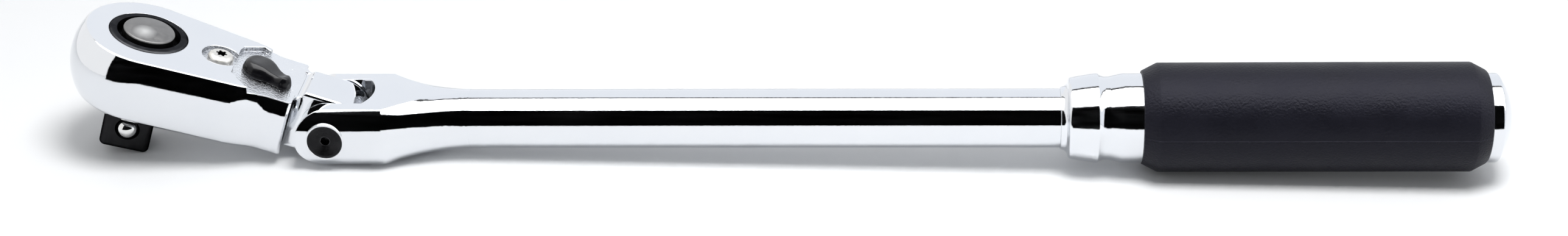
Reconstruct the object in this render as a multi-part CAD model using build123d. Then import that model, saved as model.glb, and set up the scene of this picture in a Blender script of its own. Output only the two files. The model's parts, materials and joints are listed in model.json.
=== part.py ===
from build123d import *
from math import asin, atan2, cos, degrees, hypot, pi, radians, sin, tan
import os

# Flex-head ratchet wrench, 3/8 inch square drive, in millimetres.
# Handle pieces are drawn with the flex pin on the Y axis and the shaft along +X.
# Head pieces are drawn straight: the nose points to -X and the square points down.
# The assembly then flexes the head, leans the tool onto its two points of contact
# and centres it over the surface that it rests on.

# Overall layout
flex_angle = 19.2            # nose raised from the straight position
drive_x = -38.45             # drive axis, from the flex pin
pawl_x = -24.1               # pawl screw axis
lever_x = -16.3              # reversing lever axis
square_side = 9.53           # 3/8 inch drive square
square_tip = -17.8
square_top = -8.3
square_corner_r = 1.2        # upright corners
square_round = 1.0           # edges round the tip
drive_turn = 10.0            # one tooth round from square to the head

# Handle
shaft_r = 5.75
clevis_half_height = 5.9
clevis_half_width = 10.1     # across the crowned sides
clevis_top_half = 7.9        # flat top, to the edge
clevis_side_flat = 0.9
clevis_edge_r = 0.5
clevis_end_x = 11.0          # start of the taper to the shaft
taper_end_x = 27.0
taper_quickness = 1.8        # above 1, most of the narrowing is near the clevis
slot_half = 5.22
slot_end_x = 8.4
slot_end_r = 9.2
pin_r = 2.0
pin_head_r = 3.39
pin_head_depth = 2.6
pin_face_y = 10.15
pin_boss_r = 3.72
plunger_bore_r = 2.0
plunger_bore_end = 24.0
collar_start = 141.1
tang_r = 4.6
tang_flats = 7.6
tang_hex_start = 158.0
tang_end = 214.0
cap_stem_r = 2.5
cap_stem_depth = 12.0

# Grip and end cap
grip_start = 156.64
grip_left_edge = 159.65
grip_right_edge = 219.10
grip_end = 222.04
grip_r = 10.49
grip_left_end_r = 9.0
grip_right_end_r = 8.9
collar_r = 8.65
groove_r = 8.05
cap_r = 8.6
cap_rim_end = 224.05
cap_apex = 226.83

# Head forging
top_n = 6.13
bottom_n = -8.0
rim_r = 11.9                 # crisp rim round the top face, about the drive axis
side_r = 13.6                # crowned side, at its widest
waist_x = -19.0              # start of the step in from the head to the tail
low_rim_r = 11.6
low_rim_n = -7.0
taper_angle = 7.4            # each side narrows towards the tail
rim_round = 0.5
terrace_n = 5.1              # rough step behind the pawl screw
tail_half = 9.5
step_end = -13.0             # the tail is straight from here back
rear_bevel = 0.4
tail_x = -8.1                # rear face of the head, towards the pin
tongue_half = 5.12
tongue_end_r = 6.35
tongue_round = 0.8
neck_length = 1.9            # hollow rise from the terrace to the tongue
shoulder_r = 2.0
relief_r = 3.75

# Gear train inside the head
teeth = 36
gear_tip_r = 9.0
tooth_depth = 0.65
tooth_land = 0.12
gear_top = 2.9
gear_bottom = -6.5
hub_r = 7.58
hub_gap = 0.04
hub_recess_r = 6.1
hub_recess_depth = 2.1
hub_top = 6.35
lower_hub_r = 6.9
running = 0.05               # radial running clearance
ceiling_n = 3.4
pocket_top = 2.6
pocket_bottom = -4.3
plate_r = 9.9
plate_top = -6.55
plate_thickness = 0.6
snap_r = 10.3

# Pawl and reversing lever
pawl_swing = 6.0             # each way from the middle
lever_swing = 28.0
pawl_screw_r = 1.75
screw_head = 1.5
spindle_r = 2.6
foot_r = 1.55
foot_end = -5.7
lever_disc_r = 3.4
lever_gap = 0.05
lever_length = 7.6           # from the pivot to the tip
seal_depth = 0.45
seal_wire_r = 0.31
well_r = 3.25
well_depth = 0.9
plunger_r = 1.0
plunger_reach = 3.6
plunger_n = -0.8

# Release button and ball
button_r = 4.95
button_edge = 6.9
button_apex = 7.5
button_under = 0.9
button_travel = 2.4
stem_r = 1.85
stem_end = -14.4
ball_r = 2.1
ball_n = -13.0
ball_y = -4.05
ball_travel = 1.2
ball_bore_r = 2.16
ball_dish_r = 2.375


def turned(outline, axis, angle=360):
    return revolve(make_face(outline), axis, angle)


def along_x(radius, start, end):
    return Plane.YZ.offset(start) * extrude(Circle(radius), end - start)


def along_y(x, radius, start, end, z=0.0):
    base = Plane((x, start, z), x_dir=(1, 0, 0), z_dir=(0, 1, 0))
    return base * extrude(Circle(radius), end - start)


def upright(x, radius, low, high):
    return Pos(x, 0, low) * extrude(Circle(radius), high - low)


def ring(x, outer, inner, low, high):
    return upright(x, outer, low, high) - upright(x, inner, low - 1, high + 1)


def coil(radius, wire, length, turns):
    path = Helix(length / turns, length, radius)
    start = Plane(path @ 0, z_dir=path % 0)
    return sweep(start * Circle(wire), path=path, is_frenet=True)


# Barrel section of the clevis: flat top and bottom, crowned sides, rounded edges.
def barrel(half_width, top_half, half_height, side_flat, edge_r):
    upper = TangentArc((half_width, side_flat), (top_half, half_height), tangent=(0, 1))
    side = Line((half_width, -side_flat), (half_width, side_flat))
    lower = TangentArc((half_width, -side_flat), (top_half, -half_height), tangent=(0, -1))
    quarter = [upper, side, lower]
    left = [edge.mirror(Plane.YZ) for edge in quarter]
    top = Line((-top_half, half_height), (top_half, half_height))
    base = Line((-top_half, -half_height), (top_half, -half_height))
    section = make_face(quarter + left + [top, base])
    corners = [v for v in section.vertices() if abs(abs(v.Y) - half_height) < 1e-6]
    return fillet(corners, edge_r)


def clevis_section():
    return barrel(clevis_half_width, clevis_top_half, clevis_half_height,
                  clevis_side_flat, clevis_edge_r)


# The flat narrows and the sides draw in until the section is the round shaft.
def taper_section(step):
    ease = step * step * (3 - 2 * step)
    pull = 1 - (1 - step) ** taper_quickness
    top_half = clevis_top_half + (0.3 - clevis_top_half) * pull
    half_width = clevis_half_width + (shaft_r - clevis_half_width) * pull
    half_height = clevis_half_height + (shaft_r - clevis_half_height) * ease
    side_flat = clevis_side_flat + (0.1 - clevis_side_flat) * ease
    edge_r = clevis_edge_r + 1.0 * ease
    x = clevis_end_x + step * (taper_end_x - clevis_end_x)
    return Plane.YZ.offset(x) * barrel(half_width, top_half, half_height, side_flat, edge_r)


def make_handle_bar():
    section = Plane.YZ * clevis_section()
    ears = extrude(section, clevis_half_height, dir=(-1, 0, 0))
    ears &= along_y(0, clevis_half_height, -20, 20)
    block = extrude(section, clevis_end_x, dir=(1, 0, 0))
    taper = loft([taper_section(step / 5) for step in range(6)])
    bar = ears + block + taper + along_x(shaft_r, taper_end_x, collar_start)
    for side in (-1, 1):
        bar += along_y(0, pin_boss_r, side * slot_half, side * (clevis_half_width + 0.05))
    strip = Box(40, 2 * slot_half, 40)
    round_end = Pos(slot_end_x - slot_end_r, 0, 0) * Cylinder(slot_end_r, 40)
    bar -= Pos(slot_end_x - slot_end_r - 20, 0, 0) * strip
    bar -= round_end & Pos(slot_end_x - 20, 0, 0) * strip
    bar -= along_y(0, pin_r, -20, 20)
    for side in (-1, 1):
        seat = pin_face_y - pin_head_depth
        bar -= along_y(0, pin_head_r + 0.03, side * seat, side * 20)
    bar -= along_x(plunger_bore_r, 0, plunger_bore_end)
    bar += along_x(tang_r, collar_start, tang_hex_start)
    hexagon = RegularPolygon(tang_flats / 2, 6, major_radius=False)
    bar += Plane.YZ.offset(tang_hex_start) * extrude(hexagon, tang_end - tang_hex_start)
    bar -= along_x(cap_stem_r, tang_end - cap_stem_depth, tang_end + 1)
    return bar


def make_collar():
    lip = Line((collar_start, tang_r), (collar_start, 6.0))
    lip_top = Line((collar_start, 6.0), (collar_start + 0.35, 6.1))
    flare = ThreePointArc((collar_start + 0.35, 6.1), (142.1, 6.45), (142.5, 7.2))
    shoulder = ThreePointArc((142.5, 7.2), (142.68, 7.62), (143.1, 7.87))
    swell = ThreePointArc((143.1, 7.87), (145.4, 8.31), (147.7, collar_r))
    land = Line((147.7, collar_r), (148.2, collar_r))
    dip_in = ThreePointArc((148.2, collar_r), (148.75, 8.3), (149.5, groove_r))
    floor = Line((149.5, groove_r), (150.4, groove_r))
    dip_out = ThreePointArc((150.4, groove_r), (151.6, 8.35), (153.0, collar_r))
    barrel_line = Line((153.0, collar_r), (grip_start, collar_r))
    end = Line((grip_start, collar_r), (grip_start, tang_r))
    bore = Line((grip_start, tang_r), (collar_start, tang_r))
    outline = [lip, lip_top, flare, shoulder, swell, land, dip_in, floor, dip_out, barrel_line, end, bore]
    return turned(outline, Axis.X)


def make_grip():
    corners = [(grip_start, 0), (grip_start, grip_left_end_r), (grip_left_edge, grip_r),
               (grip_right_edge, grip_r), (grip_end, grip_right_end_r), (grip_end, 0)]
    body = turned(Polyline(*corners, close=True), Axis.X)
    hexagon = RegularPolygon(tang_flats / 2, 6, major_radius=False)
    body -= along_x(tang_r, 0, tang_hex_start)
    body -= Plane.YZ.offset(tang_hex_start) * extrude(hexagon, tang_end - tang_hex_start)
    body -= along_x(cap_stem_r, tang_end, grip_end + 1)
    rims = [edge for edge in body.edges() if edge.geom_type == GeomType.CIRCLE]
    rims = [edge for edge in rims if edge.center().X > grip_right_edge - 1 and edge.radius > cap_stem_r + 1]
    return fillet(rims, 0.4)


def make_end_cap():
    start = (grip_end, 0)
    rim = Line((grip_end, cap_r), (cap_rim_end, cap_r))
    dome = ThreePointArc((cap_rim_end, cap_r), (225.95, 5.2), (cap_apex, 0))
    outline = [Line(start, (grip_end, cap_r)), rim, dome, Line((cap_apex, 0), start)]
    cap = turned(outline, Axis.X)
    circles = cap.edges().filter_by(GeomType.CIRCLE)
    edge = [e for e in circles if abs(e.center().X - cap_rim_end) < 0.01]
    cap = fillet(edge, 0.5)
    return cap + along_x(cap_stem_r, tang_end - cap_stem_depth + 0.5, grip_end + 0.5)


# Dished head shared by the pin and its nut, drawn on the far side.
def pin_head():
    head = along_y(0, pin_head_r, pin_face_y - pin_head_depth, pin_face_y)
    dish = [(0, pin_face_y - 0.8), (0, pin_face_y + 1), (2.95, pin_face_y + 1), (2.95, pin_face_y)]
    head -= turned(Polyline(*dish, close=True), Axis.Y)
    return head - along_y(0, 0.9, pin_face_y - 1.9, pin_face_y + 1)


def make_flex_pin():
    seat = pin_face_y - pin_head_depth
    return mirror(pin_head(), Plane.XZ) + along_y(0, pin_r, -seat, 4.6) + along_y(0, 1.5, 4.6, 7.0)


def make_flex_nut():
    seat = pin_face_y - pin_head_depth
    sleeve = along_y(0, pin_r, 4.6, seat) - along_y(0, 1.5, 4, 7.0)
    return pin_head() + sleeve


def make_flex_plunger():
    tip = tongue_end_r + 0.02
    body = along_x(plunger_bore_r - running, tip, tip + 7)
    return fillet(body.edges().filter_by(GeomType.CIRCLE).group_by(Axis.X)[0], 0.6)


def make_flex_spring():
    start = tongue_end_r + 7.4
    return Pos(start, 0, 0) * Rot(0, 90, 0) * coil(1.3, 0.3, plunger_bore_end - start - 0.4, 7)


# Side profile of the head forging: crisp top rim, crowned side, rounded bottom edge.
# widest is the half width at n = 0, and the other edges keep their distance from it.
def head_profile(widest):
    rim = widest - (side_r - rim_r)
    low_rim = widest - (side_r - low_rim_r)
    top = Line((0, top_n), (rim, top_n))
    crown = TangentArc((widest, 0), (rim, top_n), tangent=(0, 1))
    belly = TangentArc((widest, 0), (low_rim, low_rim_n), tangent=(0, -1))
    low_edge = Line((low_rim, low_rim_n), (low_rim - 1.3, bottom_n))
    base = Line((low_rim - 1.3, bottom_n), (0, bottom_n))
    section = make_face([top, crown, belly, low_edge, base, Line((0, bottom_n), (0, top_n))])
    corner = [v for v in section.vertices() if abs(v.X - rim) < 1e-6]
    section = fillet(corner, rim_round)
    low = [v for v in section.vertices() if v.Y < low_rim_n + 0.01 and v.X > 1]
    return fillet(low, 1.0)


# One straight flank of the head, from the drive axis to the waist
def make_flank():
    slope = radians(taper_angle)
    flank_plane = Plane((drive_x, 0, 0), x_dir=(sin(slope), cos(slope), 0),
                        z_dir=(cos(slope), -sin(slope), 0))
    flank = extrude(flank_plane * head_profile(side_r), 26)
    return flank & Pos(waist_x - 20, 20, 0) * Box(40, 40, 60)


def make_head_blank(flank):
    nose_plane = Plane((drive_x, 0, 0), x_dir=(1, 0, 0), z_dir=(0, -1, 0))
    blank = revolve(nose_plane * head_profile(side_r), Axis((drive_x, 0, 0), (0, 0, 1)), 360)
    return blank + flank + mirror(flank, Plane.XZ)


# The sides step in at the waist, then run straight to the bevelled rear edge.
def make_tail(flank):
    waist_face = flank.faces().sort_by(Axis.X)[-1]
    start_half = waist_face.bounding_box().max.Y
    drift = tan(radians(taper_angle))
    end_drift = drift * (step_end - waist_x)
    faces = [waist_face]
    count = 10
    for index in range(1, count + 1):
        x = waist_x + index / count * (tail_x - rear_bevel - waist_x)
        part_way = min(1, (x - waist_x) / (step_end - waist_x))
        ease = part_way * part_way * (3 - 2 * part_way)
        half = start_half - end_drift * part_way + (tail_half + end_drift - start_half) * ease
        plane = Plane((x, 0, 0), x_dir=(0, 1, 0), z_dir=(1, 0, 0))
        faces.append(plane * head_profile(half))
    rear = Plane((tail_x, 0, 0), x_dir=(0, 1, 0), z_dir=(1, 0, 0)) * head_profile(tail_half - rear_bevel)
    side = loft(faces) + loft([faces[-1], rear], ruled=True)
    return side + mirror(side, Plane.XZ)


def terrace_cut():
    points = [(-20.9, -5.2), (-16.3, -9.6), (-15.0, -20), (tail_x, -20), (tail_x, 20), (-14, 20),
              (-15.9, 7.6), (-17.3, 8.5), (-20.9, 6.1), (-21.3, 4.7)]
    return Pos(0, 0, terrace_n) * extrude(make_face(Polyline(*points, close=True)), 10)


# Its top rises from the terrace in a hollow, and its upper edges are rounded.
def make_tongue():
    outline = [(tail_x - 4, -tongue_end_r), (0, -tongue_end_r), (0, tongue_end_r), (tail_x - 4, tongue_end_r)]
    side = Plane.XZ.offset(-tongue_half) * extrude(make_face(Polyline(*outline, close=True)), 2 * tongue_half)
    tongue = side + along_y(0, tongue_end_r, -tongue_half, tongue_half)
    upper = [e for e in tongue.edges() if abs(abs(e.center().Y) - tongue_half) < 0.01 and e.center().Z > -1]
    upper = [e for e in upper if e.center().X > tail_x - 3.9]
    tongue = fillet(upper, tongue_round)
    rise = tongue_end_r - terrace_n
    hollow_r = (rise ** 2 + neck_length ** 2) / (2 * rise)
    tongue -= along_y(tail_x, hollow_r, -20, 20, terrace_n + hollow_r)
    return tongue - along_y(0, pin_r + running, -20, 20)


def make_head_body():
    flank = make_flank()
    body = make_head_blank(flank) + make_tail(flank)
    for side in (-1, 1):
        corner = Box(shoulder_r * 2, shoulder_r * 2, 2 * tongue_end_r)
        corner = Pos(tail_x, side * tongue_half, 0) * corner
        hollow = Pos(tail_x + shoulder_r, side * (tongue_half + shoulder_r), 0) * Cylinder(shoulder_r, 40)
        keep = Pos(tail_x + shoulder_r / 2, side * (tongue_half + shoulder_r / 2), 0) * Box(
            shoulder_r + 0.4, shoulder_r + 0.4, 2 * tongue_end_r - 2)
        body += (corner & keep) - hollow
    body += make_tongue()
    body -= terrace_cut()
    body -= upright(pawl_x, relief_r, terrace_n, 10)
    # gear bore, hub opening and the seats of the retainer plate and snap ring
    body -= upright(drive_x, gear_tip_r + running, -9, ceiling_n)
    body -= upright(drive_x, hub_r + hub_gap, ceiling_n - 1, 10)
    body -= upright(drive_x, plate_r, -9, plate_top + 0.02)
    body -= upright(drive_x, snap_r, plate_top - 2 * plate_thickness, plate_top - plate_thickness)
    # pawl pocket, lever well and the fixed holes
    pocket = Pos(-25, 0, pocket_bottom) * extrude(RectangleRounded(15, 14.2, 3), pocket_top - pocket_bottom)
    body -= pocket
    body -= upright(lever_x, 4.4, pocket_bottom, pocket_top)
    body -= upright(lever_x, spindle_r + running, 0, 10)
    body -= upright(lever_x, well_r, terrace_n - well_depth, 10)
    body -= upright(lever_x, foot_r + running, foot_end - 0.1, 0)
    body -= upright(pawl_x, pawl_screw_r, foot_end - 0.8, 10)
    return body


def make_pawl_screw():
    head = turned([Line((0, 0), (2.5, 0)), Line((2.5, 0), (2.5, 0.75)),
                   ThreePointArc((2.5, 0.75), (2.05, 1.3), (1.4, screw_head)),
                   Line((1.4, screw_head), (0, screw_head)), Line((0, screw_head), (0, 0))], Axis.Y)
    head = Pos(pawl_x, 0, terrace_n) * Rot(90, 0, 0) * head
    lobes = Circle(0.78)
    for place in PolarLocations(0.84, 6):
        lobes += place * Circle(0.27)
    recess = Pos(pawl_x, 0, terrace_n + screw_head - 1.0) * extrude(lobes, 2)
    return head + upright(pawl_x, pawl_screw_r, foot_end - 0.6, terrace_n) - recess


def make_retainer_plate():
    return ring(drive_x, plate_r - 0.02, lower_hub_r + 0.1, plate_top - plate_thickness, plate_top)


def make_snap_ring():
    low = plate_top - 2 * plate_thickness + 0.02
    body = ring(drive_x, snap_r - 0.02, snap_r - 1.3, low, plate_top - plate_thickness)
    gap = Pos(drive_x, -snap_r, low) * Box(3.4, 4, 4)
    return body - gap


def make_friction_washer():
    return ring(drive_x, gear_tip_r - 0.1, hub_r + 0.1, gear_top, gear_top + 0.4)


# Toothed outline of the drive gear, grown by a clearance where it cuts the pawl.
def gear_outline(grow):
    points = []
    pitch = 2 * pi / teeth
    for index in range(teeth):
        middle = index * pitch
        land = tooth_land / gear_tip_r
        for angle, radius in ((middle - land, gear_tip_r), (middle + land, gear_tip_r),
                              (middle + pitch / 2, gear_tip_r - tooth_depth)):
            points.append(((radius + grow) * cos(angle), (radius + grow) * sin(angle)))
    return Pos(drive_x, 0) * make_face(Polyline(*points, close=True))


# The gear train is drawn square to the head, then turned to its rest position.
def drive_turned(piece):
    return Pos(drive_x, 0, 0) * Rot(0, 0, drive_turn) * Pos(-drive_x, 0, 0) * piece


def make_drive_gear():
    gear = Pos(0, 0, gear_bottom) * extrude(gear_outline(0), gear_top - gear_bottom)
    hub = upright(drive_x, hub_r, gear_top, hub_top)
    hub = fillet(hub.edges().filter_by(GeomType.CIRCLE).group_by(Axis.Z)[-1], 0.55)
    gear += hub + upright(drive_x, lower_hub_r, square_top, gear_bottom)
    square = Pos(drive_x, 0, square_tip) * extrude(
        RectangleRounded(square_side, square_side, square_corner_r), square_top - square_tip)
    square = fillet(square.edges().group_by(Axis.Z)[0], square_round)
    gear += square
    gear -= upright(drive_x, hub_recess_r, hub_top - hub_recess_depth, 10)
    seat = button_under - button_travel - 0.2
    gear -= upright(drive_x, button_r + running, seat, 10)
    gear -= upright(drive_x, 4.2, seat - 2.9, 0)
    gear -= upright(drive_x, stem_r + running, stem_end - button_travel - 0.1, 0)
    gear -= along_y(drive_x, ball_bore_r, -20, -1.0, ball_n)
    face = -square_side / 2
    dish = [(0, face + 0.45), (ball_bore_r, face + 0.45), (ball_dish_r, face - 0.01), (0, face - 0.01)]
    gear -= Pos(drive_x, 0, ball_n) * turned(Polyline(*dish, close=True), Axis.Y)
    return drive_turned(gear)


def make_release_button():
    start = (0, button_under)
    rim = [Line(start, (button_r, button_under)), Line((button_r, button_under), (button_r, button_edge))]
    sag = button_apex - button_edge
    dome = RadiusArc((button_r, button_edge), (0, button_apex), -(button_r ** 2 + sag ** 2) / (2 * sag))
    section = make_face(rim + [dome, Line((0, button_apex), start)])
    corner = [v for v in section.vertices() if v.X > 1 and v.Y > button_edge - 0.1]
    section = fillet(corner, 0.45)
    body = Pos(drive_x, 0, 0) * Rot(90, 0, 0) * revolve(section, Axis.Y)
    body += upright(drive_x, stem_r, stem_end + 0.05, button_under)
    # slanted notch that the ball sinks into as the button goes down
    slope = Vector(0, ball_travel, button_travel)
    start = Vector(drive_x, ball_y, ball_n)
    radius = ball_r + running
    notch = Pos(start) * Sphere(radius) + Pos(start + slope) * Sphere(radius)
    notch += extrude(Plane(start, z_dir=slope) * Circle(radius), slope.length)
    return drive_turned(body - notch)


def make_button_spring():
    seat = button_under - button_travel - 0.2 - 2.9
    start = seat + 0.35
    return Pos(drive_x, 0, start) * coil(3.3, 0.3, button_under - start - 0.35, 4)


def make_detent_ball():
    return drive_turned(Pos(drive_x, ball_y, ball_n) * Sphere(ball_r))


# Two toothed wings and a hollow tail, drawn with the pawl in its middle position.
def pawl_outline():
    wings = [(-23.5, -5.2), (-27.5, -6.3), (-31.6, -6.3), (-31.6, 6.3), (-27.5, 6.3), (-23.5, 5.2),
             (-18.6, 3.3), (-18.6, -3.3)]
    shape = make_face(Polyline(*wings, close=True))
    shape = fillet([v for v in shape.vertices() if v.X > -28 and v.X < -20], 1.5)
    pivot = Pos(pawl_x, 0)
    steps = 12
    for index in range(steps + 1):
        turn = pawl_swing * (2 * index / steps - 1)
        about = pivot * Rot(0, 0, turn) * pivot.inverse()
        shape -= about * gear_outline(0.05)
        shape -= about * Pos(lever_x, 0) * Circle(plunger_reach + 0.12)
    about_middle = Pos(drive_x, 0) * Circle(gear_tip_r + 0.3)
    shape -= about_middle & Pos(drive_x + 8, 0) * Rectangle(6, 4.4)
    return shape - pivot * Circle(pawl_screw_r + running)


def make_pawl():
    pivot = Pos(pawl_x, 0, 0)
    body = Pos(0, 0, pocket_bottom + 0.1) * extrude(pawl_outline(), pocket_top - pocket_bottom - 0.2)
    return pivot * Rot(0, 0, pawl_swing) * pivot.inverse() * body


# The lever is drawn with its thumb towards the handle, then turned to its rest side.
def lever_turned(piece):
    return Pos(lever_x, 0, 0) * Rot(0, 0, -lever_swing) * piece


def make_reverse_lever():
    base = terrace_n + lever_gap
    outline = [(0, 0), (lever_disc_r, 0), (lever_disc_r, 0.9), (2.7, 1.5), (2.0, 2.45), (0, 2.6)]
    dome_section = make_face(Polyline(*outline, close=True))
    shoulders = [v for v in dome_section.vertices() if v.X > 1 and v.Y > 0.5]
    dome = Pos(0, 0, base) * Rot(90, 0, 0) * revolve(fillet(shoulders, 0.35), Axis.Y)
    plan = make_face(Polyline((0, -2.5), (4.6, -1.7), (lever_length, -1.7), (lever_length, 1.7),
                              (4.6, 1.7), (0, 2.5), close=True))
    plan = fillet([v for v in plan.vertices() if v.X > 7], 1.2)
    side = make_face(Polyline((0, 0), (lever_length, 0), (lever_length, 1.6), (7.1, 2.2), (6.1, 2.3),
                              (4.6, 1.9), (0, 2.4), close=True))
    side = fillet([v for v in side.vertices() if v.X > 4 and v.Y > 1], 0.35)
    thumb = Pos(0, 0, base) * extrude(plan, 4)
    thumb &= Pos(0, 4, base) * Rot(90, 0, 0) * extrude(side, 8)
    lever = dome + thumb
    lever += upright(0, spindle_r, pocket_bottom + 0.05, base + 0.1)
    lever += upright(0, foot_r, foot_end, 0)
    bore = Plane((-spindle_r - 1, 0, plunger_n), z_dir=(1, 0, 0)) * extrude(
        Circle(plunger_r + running), spindle_r + 2.6)
    return lever_turned(lever - bore)


def make_lever_seal():
    return Pos(lever_x, 0, terrace_n - seal_depth) * Torus(spindle_r + seal_wire_r + 0.02, seal_wire_r)


def make_pawl_plunger():
    rod = Plane((-plunger_reach, 0, plunger_n), z_dir=(1, 0, 0)) * extrude(Circle(plunger_r), 3.2)
    rod = fillet(rod.edges().filter_by(GeomType.CIRCLE).group_by(Axis.X)[0], 0.8)
    return lever_turned(rod)


def make_pawl_spring():
    spring = Pos(-0.2, 0, plunger_n) * Rot(0, 90, 0) * coil(0.75, 0.14, 1.6, 5)
    return lever_turned(spring)


handle_pieces = {
    "handle_bar": make_handle_bar, "collar": make_collar, "grip": make_grip, "end_cap": make_end_cap,
    "flex_pin": make_flex_pin, "flex_nut": make_flex_nut, "flex_plunger": make_flex_plunger,
    "flex_spring": make_flex_spring,
}
head_pieces = {
    "head_body": make_head_body, "pawl_screw": make_pawl_screw, "retainer_plate": make_retainer_plate,
    "snap_ring": make_snap_ring, "friction_washer": make_friction_washer, "drive_gear": make_drive_gear,
    "release_button": make_release_button, "button_spring": make_button_spring,
    "detent_ball": make_detent_ball, "pawl": make_pawl, "reverse_lever": make_reverse_lever,
    "lever_seal": make_lever_seal, "pawl_plunger": make_pawl_plunger, "pawl_spring": make_pawl_spring,
}


# Lean that brings the grip's front edge and the lowest corner of the square to one level.
def resting_lean():
    flex = radians(flex_angle)
    turn = radians(drive_turn)
    corner = (square_side / 2 - square_corner_r) * (cos(turn) + sin(turn)) + square_corner_r
    x = drive_x + corner - square_round
    z = square_tip + square_round
    square_x = x * cos(flex) + z * sin(flex)
    square_z = z * cos(flex) - x * sin(flex)
    across = grip_left_edge - square_x
    down = -grip_r - square_z
    return degrees(atan2(down, across) + asin(square_round / hypot(across, down)))


lean = resting_lean()
flexed = Rot(0, flex_angle, 0)


def build():
    leaned = Rot(0, lean, 0)
    placed = {name: leaned * make() for name, make in handle_pieces.items()}
    placed.update({name: leaned * flexed * make() for name, make in head_pieces.items()})
    box = Compound(children=[Compound(shape.solids()) for shape in placed.values()]).bounding_box()
    seat = Pos(-(box.min.X + box.max.X) / 2, 0, -box.min.Z)
    return {name: seat * shape for name, shape in placed.items()}, seat


nodes, seat = build()
os.makedirs("parts", exist_ok=True)
for name, shape in nodes.items():
    solids = shape.solids()
    whole = solids[0] if len(solids) == 1 else Compound(solids)
    whole.label = name
    export_step(whole, os.path.join("parts", name + ".step"))
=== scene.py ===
import json
from math import cos, pi, radians, sin

import bmesh
import bpy
from mathutils import Matrix, Vector, noise


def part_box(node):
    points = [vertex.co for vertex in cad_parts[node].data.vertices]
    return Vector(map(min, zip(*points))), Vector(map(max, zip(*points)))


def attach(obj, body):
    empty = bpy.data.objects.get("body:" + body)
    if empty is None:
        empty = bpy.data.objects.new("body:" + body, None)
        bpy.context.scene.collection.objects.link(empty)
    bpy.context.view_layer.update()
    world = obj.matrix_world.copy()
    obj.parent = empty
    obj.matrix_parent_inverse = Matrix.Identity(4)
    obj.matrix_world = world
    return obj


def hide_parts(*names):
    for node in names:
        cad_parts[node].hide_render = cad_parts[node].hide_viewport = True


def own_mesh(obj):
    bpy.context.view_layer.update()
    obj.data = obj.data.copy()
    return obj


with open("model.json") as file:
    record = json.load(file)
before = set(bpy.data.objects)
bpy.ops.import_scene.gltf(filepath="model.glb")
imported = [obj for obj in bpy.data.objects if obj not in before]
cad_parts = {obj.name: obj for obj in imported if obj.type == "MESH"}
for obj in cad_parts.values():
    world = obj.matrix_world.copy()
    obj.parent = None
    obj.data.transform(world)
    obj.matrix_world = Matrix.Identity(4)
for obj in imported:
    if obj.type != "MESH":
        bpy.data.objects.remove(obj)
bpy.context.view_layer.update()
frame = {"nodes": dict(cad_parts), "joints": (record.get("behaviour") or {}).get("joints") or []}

scene = bpy.context.scene
mm = 0.001


# ---------------------------------------------------------------- frames of the tool
# Matrix whose columns are three directions and a place
def from_columns(*columns):
    return Matrix([[column[row] for column in columns] for row in range(3)] + [[0, 0, 0, 1]])


def local_frame(origin, up):
    along = cross.cross(up).normalized()
    return from_columns(along, cross, up, origin)


# Place in the shared frame of a point given in millimetres in a frame of the tool
def at(local, x, y, z):
    return local @ (Vector((x, y, z)) * mm)


# Distance of a joint from the pin along the head, in millimetres
def along_head(joint):
    place = head_frame.inverted() @ Vector(joints[joint]["pos_m"])
    return round(place.x / mm, 2)


# Both frames start at the flex pin. Head frame: +x towards the handle, z up the drive
# axis. Handle frame: x along the shaft.
joints = {joint["name"]: joint for joint in frame["joints"]}
pin = Vector(joints["head_flex"]["pos_m"])
drive_axis = Vector(joints["drive_spin"]["axis"])
cross = Vector((0, 1, 0))
cap_low, cap_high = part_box("end_cap")
shaft_along = ((cap_low + cap_high) / 2 - pin).normalized()
head_frame = local_frame(pin, drive_axis)
handle_frame = local_frame(pin, shaft_along.cross(cross))

# Sizes in millimetres
drive_x = along_head("drive_spin")
lever_x = along_head("lever_turn")
top_z = 6.13                 # top face of the head
terrace_z = 5.1              # rough step that the lever turns over
lever_gap = 0.05
lever_swing = 28             # degrees from the middle to the side where it rests
lever_disc_r = 3.38
lever_tip_x = 5.95           # middle of the round tip, from the pivot
lever_tip_r = 1.62
plunger_z = -0.8
grip_start = 156.64
grip_end = 222.04
grip_r = 10.49

# Regions with a finish, painted shade or painted highlight of their own: ranges of x, y and z in
# millimetres
taper_end = ((26, 28), (-8, 8), (-8, 8))
slot_floor = ((5.5, 8.7), (-5.4, 5.4), (-5.4, 5.7))
terrace = ((-28.2, -7.6), (-8.8, 8.8), (terrace_z - 0.15, top_z - 0.08))
hub_top = ((drive_x - 7.75, drive_x + 7.85), (-7.8, 7.8), (5.2, 7))
# painted shade on the side of the button
button_shaded_side = ((drive_x - 7.55, drive_x + 7.45), (-7, 7), (-20, 6.72))
# painted shade inside the screw's recess
screw_recess_shade = ((-25.4, -22.8), (-1.3, 1.3), (5.4, 6.5))
# middle of a painted highlight on the button's dome
button_highlight_spot = (drive_x - 0.55, -1.9, 7.4)


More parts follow.
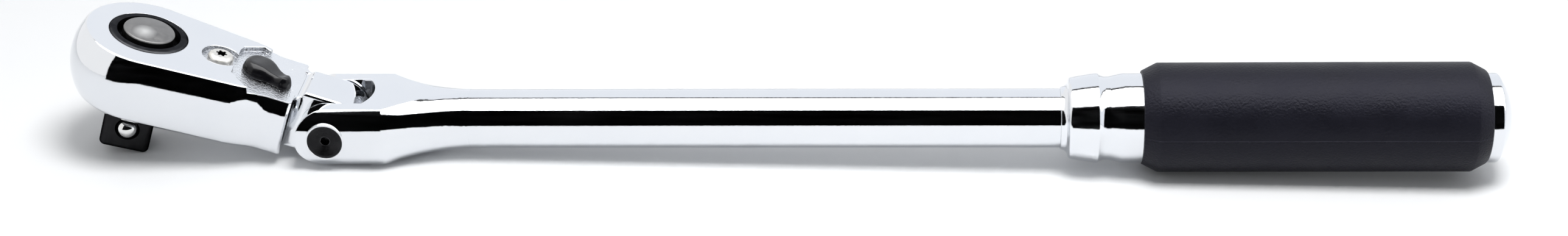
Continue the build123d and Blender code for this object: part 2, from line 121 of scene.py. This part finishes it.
# ---------------------------------------------------------------- material helpers
class Shader:
    def __init__(self, name, color, metallic, roughness):
        self.material = bpy.data.materials.new(name)
        self.material.use_nodes = True
        self.tree = self.material.node_tree
        self.body = self.tree.nodes["Principled BSDF"]
        self.body.inputs["Base Color"].default_value = (*color, 1)
        self.body.inputs["Metallic"].default_value = metallic
        self.body.inputs["Roughness"].default_value = roughness
        self.place = self.add("ShaderNodeTexCoord").outputs["Object"]
        self.normal = None

    def add(self, kind, **settings):
        node = self.tree.nodes.new(kind)
        for key, value in settings.items():
            setattr(node, key, value)
        return node

    def link(self, source, target):
        self.tree.links.new(source, target)

    def set(self, socket, value):
        self.link(value, self.body.inputs[socket])

    def noise(self, size, detail=3.0, distortion=0.0, stretch=None):
        node = self.add("ShaderNodeTexNoise")
        node.inputs["Scale"].default_value = 1 / size
        node.inputs["Detail"].default_value = detail
        node.inputs["Distortion"].default_value = distortion
        place = self.place
        if stretch:
            mapping = self.add("ShaderNodeMapping")
            mapping.inputs["Scale"].default_value = stretch
            self.link(place, mapping.inputs["Vector"])
            place = mapping.outputs["Vector"]
        self.link(place, node.inputs["Vector"])
        return node.outputs["Fac"]

    def ramp(self, value, low, high, start, end):
        node = self.add("ShaderNodeMapRange", clamp=True)
        for index, number in enumerate((low, high, start, end)):
            node.inputs[index + 1].default_value = number
        self.link(value, node.inputs[0])
        return node.outputs[0]

    def math(self, operation, first, second):
        node = self.add("ShaderNodeMath", operation=operation)
        for index, value in enumerate((first, second)):
            if isinstance(value, (int, float)):
                node.inputs[index].default_value = value
            else:
                self.link(value, node.inputs[index])
        return node.outputs[0]

    def mix(self, factor, first, second):
        node = self.add("ShaderNodeMix", data_type="RGBA")
        self.link(factor, node.inputs["Factor"])
        for slot, color in (("A", first), ("B", second)):
            socket = [s for s in node.inputs if s.name == slot and s.type == "RGBA"][0]
            if isinstance(color, tuple):
                socket.default_value = (*color, 1)
            else:
                self.link(color, socket)
        return [s for s in node.outputs if s.type == "RGBA"][0]

    def dot(self, first, second):
        node = self.add("ShaderNodeVectorMath", operation="DOT_PRODUCT")
        for index, value in enumerate((first, second)):
            if isinstance(value, Vector):
                node.inputs[index].default_value = value
            else:
                self.link(value, node.inputs[index])
        return node.outputs["Value"]

    def bevel(self, width):
        node = self.add("ShaderNodeBevel", samples=4)
        node.inputs["Radius"].default_value = width
        return node.outputs["Normal"]

    def flat_normal(self):
        return self.add("ShaderNodeNewGeometry").outputs["Normal"]

    def shade_by(self, normal):
        self.normal = normal
        self.set("Normal", normal)

    def bump(self, value, depth, strength=1.0):
        node = self.add("ShaderNodeBump")
        node.inputs["Distance"].default_value = depth
        node.inputs["Strength"].default_value = strength
        self.link(value, node.inputs["Height"])
        if self.normal:
            self.link(self.normal, node.inputs["Normal"])
        self.shade_by(node.outputs["Normal"])

    # Rounds the edges in the light, as plating does, except where the plain mask is 1
    def soften(self, width, plain):
        blend = self.add("ShaderNodeMix", data_type="VECTOR")
        vector_a, vector_b = [s for s in blend.inputs if s.name in "AB" and s.type == "VECTOR"]
        self.link(plain, blend.inputs["Factor"])
        self.link(self.bevel(width), vector_a)
        self.link(self.flat_normal(), vector_b)
        self.shade_by([s for s in blend.outputs if s.type == "VECTOR"][0])

    # 1 inside a region of a frame of the tool, with soft sides edge millimetres wide
    def inside(self, local, region, edge):
        mapping = self.add("ShaderNodeMapping", vector_type="POINT")
        inverse = local.inverted()
        mapping.inputs["Location"].default_value = inverse.to_translation()
        mapping.inputs["Rotation"].default_value = inverse.to_euler()
        self.link(self.place, mapping.inputs["Vector"])
        split = self.add("ShaderNodeSeparateXYZ")
        self.link(mapping.outputs["Vector"], split.inputs[0])
        mask = None
        for value, (low, high) in zip(split.outputs, region):
            rising = self.ramp(value, low * mm, (low + edge) * mm, 0, 1)
            falling = self.ramp(value, (high - edge) * mm, high * mm, 1, 0)
            both = self.math("MULTIPLY", rising, falling)
            mask = self.math("MULTIPLY", mask, both) if mask else both
        return mask

    # 1 along edges within the given width, 0 on open faces
    def edges(self, width):
        return self.ramp(self.dot(self.bevel(width), self.flat_normal()), 0.995, 0.9, 0, 1)

    # 1 where the surface faces the given way on the piece, and 0 where it lies across it
    def facing(self, way, start, full):
        normal = self.add("ShaderNodeTexCoord").outputs["Normal"]
        return self.ramp(self.dot(normal, way), start, full, 0, 1)

    # 1 at a point of the tool, fading to 0 at the given reach
    def near(self, point, reach):
        distance = self.add("ShaderNodeVectorMath", operation="DISTANCE")
        self.link(self.place, distance.inputs[0])
        distance.inputs[1].default_value = point
        return self.ramp(distance.outputs["Value"], 0.1 * reach, reach, 1, 0)

    # Pits and ripples of the forging where it is left rough under the plating. Returns a mask of the
    # upright walls there and inside the slot, which get painted shade.
    def rough_skin_and_wall_shade(self):
        step = self.inside(head_frame, terrace, 0.05)
        slot = self.inside(handle_frame, slot_floor, 0.05)
        mask = self.math("MAXIMUM", step, slot)
        pits = self.noise(0.34 * mm, 3.0)
        ripple = self.noise(1.1 * mm, 2.0, 1.5)
        self.bump(self.math("MULTIPLY", pits, mask), 0.11 * mm)
        self.bump(self.math("MULTIPLY", ripple, mask), 0.07 * mm)
        shaded_walls = self.math("SUBTRACT", 1.0, self.facing(drive_axis, 0.25, 0.85))
        return self.math("MULTIPLY", shaded_walls, mask)


# ---------------------------------------------------------------- materials
def chrome(name, rough=0.035, wave=0.0, forged=False):
    shader = Shader(name, (0.86, 0.88, 0.91), 1.0, rough)
    # the taper runs smoothly into the shaft, so its end shows no edge
    shader.soften(0.22 * mm, shader.inside(handle_frame, taper_end, 0.1))
    smudge = shader.noise(9 * mm, 4.0)
    tint = shader.mix(smudge, (0.722, 0.741, 0.775), (0.771, 0.783, 0.802))
    if forged:
        # painted shade: the upright walls of the rough step and inside the slot are darkened
        tint = shader.mix(shader.rough_skin_and_wall_shade(), tint, (0.34, 0.35, 0.37))
    shader.set("Base Color", tint)
    hair = shader.noise(0.9 * mm, 3.0, stretch=(0.06, 1, 1))
    shader.set("Roughness", shader.ramp(hair, 0.35, 0.75, rough * 0.7, rough * 1.9))
    shader.bump(shader.noise(3.2 * mm, 2.0), (0.006 + wave) * mm)
    shader.bump(shader.noise(0.35 * mm, 2.0), 0.003 * mm)
    return shader.material


def grip_plastic():
    shader = Shader("grip_plastic", (0.004, 0.004, 0.005), 0.0, 0.5)
    patch = shader.noise(7 * mm, 3.0)
    shader.set("Base Color", shader.mix(patch, (0.0025, 0.0025, 0.005), (0.005, 0.005, 0.010)))
    shader.set("Roughness", shader.ramp(patch, 0.3, 0.7, 0.40, 0.50))
    shader.body.inputs["Specular IOR Level"].default_value = 0.18
    shader.body.inputs["Specular Tint"].default_value = (0.86, 0.86, 1.0, 1)
    shader.bump(shader.noise(0.42 * mm, 2.5), 0.12 * mm, 0.9)
    shader.bump(shader.noise(0.9 * mm, 2.0), 0.03 * mm, 0.6)
    return shader.material


def black_oxide(name, rough=0.34, hub=False):
    shader = Shader(name, (0.012, 0.012, 0.013), 1.0, rough)
    shader.body.inputs["Specular Tint"].default_value = (0.15, 0.15, 0.15, 1)
    cloud = shader.noise(1.6 * mm, 4.0)
    tone = shader.mix(cloud, (0.010, 0.010, 0.011), (0.026, 0.026, 0.027))
    if hub:
        # The top of the hub, which shows above the head, is a lighter grey
        lighter_top_tone = shader.mix(cloud, (0.035, 0.036, 0.039), (0.065, 0.066, 0.07))
        tone = shader.mix(shader.inside(head_frame, hub_top, 0.15), tone, lighter_top_tone)
    else:
        tone = shader.mix(shader.edges(0.25 * mm), tone, (0.09, 0.09, 0.095))
    shader.set("Base Color", tone)
    shader.set("Roughness", shader.ramp(cloud, 0.3, 0.7, rough * 0.8, rough * 1.25))
    shader.bump(shader.noise(0.22 * mm, 3.0), 0.008 * mm)
    return shader.material


def lever_gloss():
    shader = Shader("lever_gloss", (0.006, 0.006, 0.007), 0.0, 0.16)
    cloud = shader.noise(1.3 * mm, 3.0)
    # Upward faces get a lighter, shinier tone and the sides a darker one: painted light on the top and
    # painted shade on the sides
    lit_top = shader.facing(drive_axis, 0.45, 0.9)
    lighter_top_tone = shader.mix(cloud, (0.006, 0.006, 0.007), (0.014, 0.0135, 0.016))
    shader.set("Base Color", shader.mix(lit_top, (0.003, 0.003, 0.004), lighter_top_tone))
    shader.set("Specular IOR Level", shader.ramp(lit_top, 0, 1, 0.22, 0.5))
    shader.set("Roughness", shader.ramp(cloud, 0.3, 0.7, 0.15, 0.26))
    shader.bump(shader.noise(0.8 * mm, 2.0), 0.02 * mm)
    return shader.material


# Satin grey on top, with a painted highlight a little off the middle, a painted highlight along the rim and
# painted shade on the side
def button_grey():
    shader = Shader("button_grey", (0.13, 0.13, 0.128), 0.75, 0.42)
    cloud = shader.noise(1.1 * mm, 4.0)
    tone = shader.mix(cloud, (0.125, 0.124, 0.124), (0.215, 0.213, 0.212))
    # painted highlight: a lighter spot on the dome a little off the middle
    painted_highlight = shader.near(at(head_frame, *button_highlight_spot), 2.4 * mm)
    tone = shader.mix(painted_highlight, tone, (0.50, 0.50, 0.495))
    # painted highlight along the rim
    tone = shader.mix(shader.edges(0.2 * mm), tone, (0.4, 0.4, 0.4))
    # painted shade on the side below the dome
    side = shader.inside(head_frame, button_shaded_side, 0.1)
    shader.set("Base Color", shader.mix(side, tone, (0.008, 0.008, 0.008)))
    shader.set("Roughness", shader.ramp(cloud, 0.3, 0.7, 0.34, 0.5))
    shader.bump(shader.noise(0.16 * mm, 3.0), 0.008 * mm)
    return shader.material


def bare_steel(name, color=(0.72, 0.71, 0.69), rough=0.2, shade_recess=False):
    shader = Shader(name, color, 1.0, rough)
    cloud = shader.noise(0.9 * mm, 4.0)
    dark = tuple(part * 0.72 for part in color)
    tone = shader.mix(cloud, dark, color)
    if shade_recess:
        # painted shade: the screw's recess is darkened
        tone = shader.mix(shader.inside(head_frame, screw_recess_shade, 0.04), tone, (0.02, 0.02, 0.018))
    shader.set("Base Color", tone)
    shader.set("Roughness", shader.ramp(cloud, 0.3, 0.7, rough * 0.7, rough * 1.5))
    shader.bump(shader.noise(0.3 * mm, 3.0), 0.006 * mm)
    return shader.material


def seal_rubber():
    shader = Shader("seal_rubber", (0.012, 0.012, 0.012), 0.0, 0.6)
    cloud = shader.noise(0.5 * mm, 3.0)
    shader.set("Roughness", shader.ramp(cloud, 0.3, 0.7, 0.5, 0.75))
    shader.bump(cloud, 0.01 * mm)
    return shader.material


forged_chrome = chrome("forged_chrome", forged=True)
turned_chrome = chrome("turned_chrome", 0.05, 0.02)
bright_steel = bare_steel("bright_steel")
spring_wire = bare_steel("spring_wire", (0.42, 0.42, 0.43), 0.28)
node_materials = {
    "handle_bar": forged_chrome,
    "head_body": forged_chrome,
    "collar": turned_chrome,
    "end_cap": turned_chrome,
    "grip": grip_plastic(),
    "flex_pin": black_oxide("pin_oxide", 0.26),
    "flex_nut": black_oxide("nut_oxide", 0.26),
    "flex_plunger": bright_steel,
    "flex_spring": spring_wire,
    "pawl_screw": bare_steel("screw_steel", (0.74, 0.725, 0.69), 0.36, shade_recess=True),
    "retainer_plate": spring_wire,
    "snap_ring": spring_wire,
    "friction_washer": spring_wire,
    "drive_gear": black_oxide("gear_oxide", hub=True),
    "release_button": button_grey(),
    "button_spring": spring_wire,
    "detent_ball": bare_steel("ball_steel", (0.86, 0.86, 0.85), 0.07),
    "pawl": black_oxide("black_oxide"),
    "reverse_lever": lever_gloss(),
    "lever_seal": seal_rubber(),
    "pawl_plunger": bright_steel,
    "pawl_spring": spring_wire,
}


def dress(piece, material):
    piece.data.materials.clear()
    piece.data.materials.append(material)


for name, node in frame["nodes"].items():
    dress(node, node_materials[name])


# ---------------------------------------------------------------- mesh helpers
def mesh_object(name, points, faces):
    mesh = bpy.data.meshes.new(name)
    mesh.from_pydata([tuple(p) for p in points], [], faces)
    mesh.update()
    piece = bpy.data.objects.new(name, mesh)
    scene.collection.objects.link(piece)
    return piece


def face_outwards(piece):
    bm = bmesh.new()
    bm.from_mesh(piece.data)
    bmesh.ops.recalc_face_normals(bm, faces=bm.faces)
    bm.to_mesh(piece.data)
    bm.free()


def smooth(piece, angle):
    piece.data.shade_smooth()
    piece.data.set_sharp_from_angle(angle=radians(angle))


# Faces between rows of count points, each row closed into a ring
def ring_faces(rows, count):
    faces = []
    for row in range(rows - 1):
        here, there = row * count, (row + 1) * count
        for index in range(count):
            beside = (index + 1) % count
            faces.append((here + index, here + beside, there + beside, there + index))
    return faces


# Value of a curve through (position, value) pairs, with eased steps between them
def curve(pairs, position):
    if position <= pairs[0][0]:
        return pairs[0][1]
    for (left, start), (right, end) in zip(pairs, pairs[1:]):
        if position <= right:
            part = (position - left) / (right - left)
            return start + (end - start) * part * part * (3 - 2 * part)
    return pairs[-1][1]


# ---------------------------------------------------------------- grip
# Moulded sleeve with chamfered ends and a thin parting line at mid height
def make_grip():
    seam_turns = (90, 270)
    seam_half = 0.9          # degrees
    seam_rise = 0.08
    # distance in from the end, and radius
    left_end = [(0, 2.7), (0, 8.8), (0.1, 9.0), (2.86, 10.42), (3.16, grip_r)]
    right_end = [(3.09, grip_r), (2.79, 10.42), (0.34, 9.12), (0.09, 8.9), (0, 8.6), (0, 2.7)]
    barrel_start, barrel_length, barrel_steps = 159.8, 58.9, 60

    def off_seam(turn):
        return min(abs(turn - seam) for seam in seam_turns)

    profile = [(grip_start + inward, radius) for inward, radius in left_end]
    for step in range(1, barrel_steps):
        profile.append((barrel_start + barrel_length * step / barrel_steps, grip_r))
    profile += [(grip_end - inward, radius) for inward, radius in right_end]
    turns = [turn for turn in range(0, 360, 3) if off_seam(turn) > 2]
    turns += [seam + share * seam_half for seam in seam_turns for share in (-1, -0.5, 0, 0.5, 1)]
    turns.sort()
    points = []
    for x, radius in profile:
        for turn in turns:
            swell = 0
            if radius > 8.9 and off_seam(turn) < 0.6 * seam_half:
                swell = seam_rise
            elif radius > 10:
                swell = 0.012 * noise.noise(Vector((x / 6, turn / 20, 1.7)))
            side, up = sin(radians(turn)), cos(radians(turn))
            points.append(at(handle_frame, x, (radius + swell) * side, (radius + swell) * up))
    count, rows = len(turns), len(profile)
    faces = ring_faces(rows, count)
    # the bore, from the last row back to the first
    last = (rows - 1) * count
    for index in range(count):
        beside = (index + 1) % count
        faces.append((last + index, last + beside, beside, index))
    piece = mesh_object("grip_moulding", points, faces)
    smooth(piece, 20)
    dress(piece, node_materials["grip"])
    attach(piece, "handle")
    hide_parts("grip")


make_grip()


# ---------------------------------------------------------------- lever
# Cast thumb lever: round foot, domed top with a flat, ridge and raised nib at the tip
def make_lever():
    # half width and height of the top, by the distance from the pivot towards the tip
    half_widths = [(-3.4, 0.0), (1.2, 3.2), (2.6, 2.6), (4.2, 1.95), (5.6, 1.75), (7.6, 1.6)]
    heights = [(-3.4, 2.3), (-1.6, 2.35), (0.6, 2.5), (1.8, 2.42), (3.4, 1.98), (5.2, 1.85), (6.15, 2.2),
               (6.6, 2.2), (7.2, 1.9)]
    # rings from the foot up: share of the outline with a height, then with a share of the top's height
    foot_rings = [(0.98, 0.03), (1.0, 0.12), (1.0, 0.62), (0.965, 0.74), (0.955, 0.86)]
    top_rings = [(0.90, 0.62), (0.80, 0.80), (0.66, 0.945), (0.56, 0.992), (0.42, 1.0), (0.22, 0.995)]
    # the rings shrink towards this stretch of the middle line
    core_start, core_end = -1.0, 6.0

    outline = []
    for step in range(13):
        turn = radians(180 - step * 9)
        outline.append((lever_disc_r * cos(turn), lever_disc_r * sin(turn)))
    outline += [(along, curve(half_widths, along)) for along in (1.8, 2.6, 3.4, 4.2, 5.0, 5.7, 6.3)]
    for step in range(1, 7):
        turn = radians(90 - step * 15)
        outline.append((lever_tip_x + lever_tip_r * cos(turn), lever_tip_r * sin(turn)))
    outline += [(along, -side) for along, side in reversed(outline[1:-1])]

    spin = Matrix.Rotation(radians(-lever_swing), 3, "Z")
    base = Vector((lever_x, 0, terrace_z + lever_gap))
    points = []
    for on_top, rings in ((False, foot_rings), (True, top_rings)):
        for share, height in rings:
            for along, side in outline:
                core = min(max(along, core_start), core_end)
                shrunk = core + (along - core) * share
                rise = curve(heights, shrunk) * height if on_top else height
                points.append(at(head_frame, *(base + spin @ Vector((shrunk, side * share, rise)))))
    count = len(outline)
    rings = len(foot_rings) + len(top_rings)
    faces = ring_faces(rings, count)
    # both ends are closed by strips across the outline
    for first in (0, (rings - 1) * count):
        for index in range(count // 2):
            strip = (index, index + 1, (count - index - 1) % count, (count - index) % count)
            faces.append(tuple(first + corner for corner in dict.fromkeys(strip)))
    piece = mesh_object("lever_casting", points, faces)
    face_outwards(piece)
    rounding = piece.modifiers.new("rounding", "SUBSURF")
    rounding.levels = 2
    rounding.render_levels = 2
    piece.data.shade_smooth()
    dress(piece, node_materials["reverse_lever"])
    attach(piece, "lever")
    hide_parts("reverse_lever")


make_lever()


# ---------------------------------------------------------------- springs
# Round wire wound from the foot along the way.
def make_coil(node, body, foot, way, length, radius, wire_r, turns):
    up = way.normalized()
    side = up.orthogonal().normalized()
    front = up.cross(side)
    steps = turns * 20
    corners = 8
    points = []
    for step in range(steps + 1):
        turn = 2 * pi * turns * step / steps
        outwards = side * cos(turn) + front * sin(turn)
        middle = foot + (outwards * radius + up * (length * step / steps)) * mm
        for corner in range(corners):
            around = 2 * pi * corner / corners
            points.append(middle + (outwards * cos(around) + up * sin(around)) * (wire_r * mm))
    faces = ring_faces(steps + 1, corners)
    faces.append(tuple(range(corners)))
    faces.append(tuple(range(steps * corners, (steps + 1) * corners)))
    piece = mesh_object(node + "_coil", points, faces)
    face_outwards(piece)
    smooth(piece, 60)
    dress(piece, node_materials[node])
    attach(piece, body)
    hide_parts(node)
    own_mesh(piece)


button_foot = at(head_frame, drive_x, 0, -4.25)
make_coil("button_spring", "drive", foot=button_foot,
          way=drive_axis, length=4.8, radius=3.3, wire_r=0.3, turns=4)

pawl_coil = 1.6              # its length, back from the seat in the foot of the lever
lever_way = head_frame.to_3x3() @ Vector((cos(radians(lever_swing)), -sin(radians(lever_swing)), 0))
pawl_seat = at(head_frame, lever_x, 0, plunger_z) + lever_way * (1.4 * mm)
make_coil("pawl_spring", "lever",
          foot=pawl_seat - lever_way * (pawl_coil * mm), way=lever_way, length=pawl_coil, radius=0.75,
          wire_r=0.14, turns=5)


# ---------------------------------------------------------------- studio
def emitter(name, strength, color=(1, 1, 1)):
    material = bpy.data.materials.new(name)
    material.use_nodes = True
    tree = material.node_tree
    tree.nodes.clear()
    glow = tree.nodes.new("ShaderNodeEmission")
    glow.inputs["Color"].default_value = (*color, 1)
    glow.inputs["Strength"].default_value = strength
    output = tree.nodes.new("ShaderNodeOutputMaterial")
    tree.links.new(glow.outputs[0], output.inputs["Surface"])
    return material


# The camera never sees a card
def flat_card(name, points, material, faces=((0, 1, 2, 3),)):
    card = mesh_object(name, points, faces)
    dress(card, material)
    card.visible_camera = False
    return card


def level_card(name, left, right, front, rear, material):
    corners = [(left, front), (left, rear), (right, rear), (right, front)]
    return flat_card(name, [(x, y, box_height) for x, y in corners], material)


def only_reflected(card):
    card.visible_diffuse = False
    card.visible_shadow = False
    card.visible_transmission = False
    card.visible_volume_scatter = False


def make_floor():
    half = 3.0
    corners = [(-half, -half, 0), (half, -half, 0), (half, half, 0), (-half, half, 0)]
    floor = mesh_object("table_top", corners, [(0, 1, 2, 3)])
    shader = Shader("pale_table", (0.86, 0.87, 0.88), 0.0, 0.6)
    cloud = shader.noise(0.12, 3.0)
    shader.set("Base Color", shader.mix(cloud, (0.85, 0.86, 0.872), (0.875, 0.88, 0.888)))
    shader.body.inputs["Specular IOR Level"].default_value = 0.15
    dress(floor, shader.material)


# Pale round room. It only shows in reflections.
def make_room():
    bm = bmesh.new()
    bmesh.ops.create_uvsphere(bm, u_segments=48, v_segments=24, radius=2.6)
    under = [v for v in bm.verts if v.co.z < -0.4]
    bmesh.ops.delete(bm, geom=under, context="VERTS")
    mesh = bpy.data.meshes.new("pale_room")
    bm.to_mesh(mesh)
    bm.free()
    room = bpy.data.objects.new("pale_room", mesh)
    scene.collection.objects.link(room)
    dress(room, emitter("room_light", 1.11, (0.93, 0.957, 1.0)))
    room.visible_camera = False
    only_reflected(room)


make_floor()
make_room()

world = bpy.data.worlds.new("studio_wall")
scene.world = world
world.use_nodes = True
background = world.node_tree.nodes["Background"]
background.inputs["Color"].default_value = (0.97, 0.985, 1.0, 1)
background.inputs["Strength"].default_value = 0.48

# White wall beyond the nose. It only shows in reflections.
wall_x, wall_half, wall_top = -0.42, 0.9, 1.2
wall_corners = [(wall_x, -wall_half, 0.0), (wall_x, -wall_half, wall_top), (wall_x, wall_half, wall_top),
                (wall_x, wall_half, 0.0)]
only_reflected(flat_card("left_wall", wall_corners, emitter("left_wall_light", 1.07)))

# A long softbox over the tool with a dark rail behind it, and a black cloth that hangs
# from its front edge down to the table. They only show in reflections.
box_half, box_front, box_rear, box_height = 1.5, -0.375, 0.207, 0.6
rail_width = 0.07
softbox_light = emitter("softbox_light", 4.4)
rail_black = emitter("softbox_frame", 0.12)
only_reflected(level_card("softbox_card", -box_half, box_half, box_front, box_rear, softbox_light))
only_reflected(level_card("softbox_rail", -box_half, box_half, box_rear, box_rear + rail_width, rail_black))

cloth_foot = [(-0.228, -0.114), (-0.10, -0.135), (0.0, -0.2), (0.312, -0.25)]
cloth_top = [(x, box_front) for x in (cloth_foot[0][0] - 0.02, -0.1, 0.1, cloth_foot[-1][0] + 0.25)]
cloth = [(x, y, 0.0004) for x, y in cloth_foot] + [(x, y, box_height) for x, y in cloth_top]
cloth_faces = [(0, 1, 5, 4), (1, 2, 6, 5), (2, 3, 7, 6)]
only_reflected(flat_card("front_cloth", cloth, emitter("black_cloth", 0.0), cloth_faces))

# The lamp in the softbox lights the table and throws the shadows, and has no reflection
lamp = level_card("lamp_card", -0.03, 0.23, -0.28, -0.04, emitter("lamp_light", 18.8))
lamp.visible_glossy = False

# ---------------------------------------------------------------- camera
# A little to the grip side of the middle and 27 degrees above the table
camera_place = Vector((0.01818, -0.44604, 0.23672))
camera_aim = Vector((-0.00044, 0.0, 0.00875))
camera_roll = radians(0.114)
forward = (camera_aim - camera_place).normalized()
level = forward.cross(Vector((0, 0, 1))).normalized()
lifted = level.cross(forward)
right = level * cos(camera_roll) + lifted * sin(camera_roll)
above = lifted * cos(camera_roll) - level * sin(camera_roll)
lens = bpy.data.cameras.new("camera")
lens.lens = 59.4
lens.sensor_width = 36
lens.sensor_fit = "HORIZONTAL"
lens.clip_start = 0.01
camera = bpy.data.objects.new("camera", lens)
scene.collection.objects.link(camera)
camera.matrix_world = from_columns(right, above, -forward, camera_place)
scene.camera = camera

scene.view_settings.view_transform = "Standard"
scene.view_settings.look = "None"
scene.view_settings.exposure = 0.0
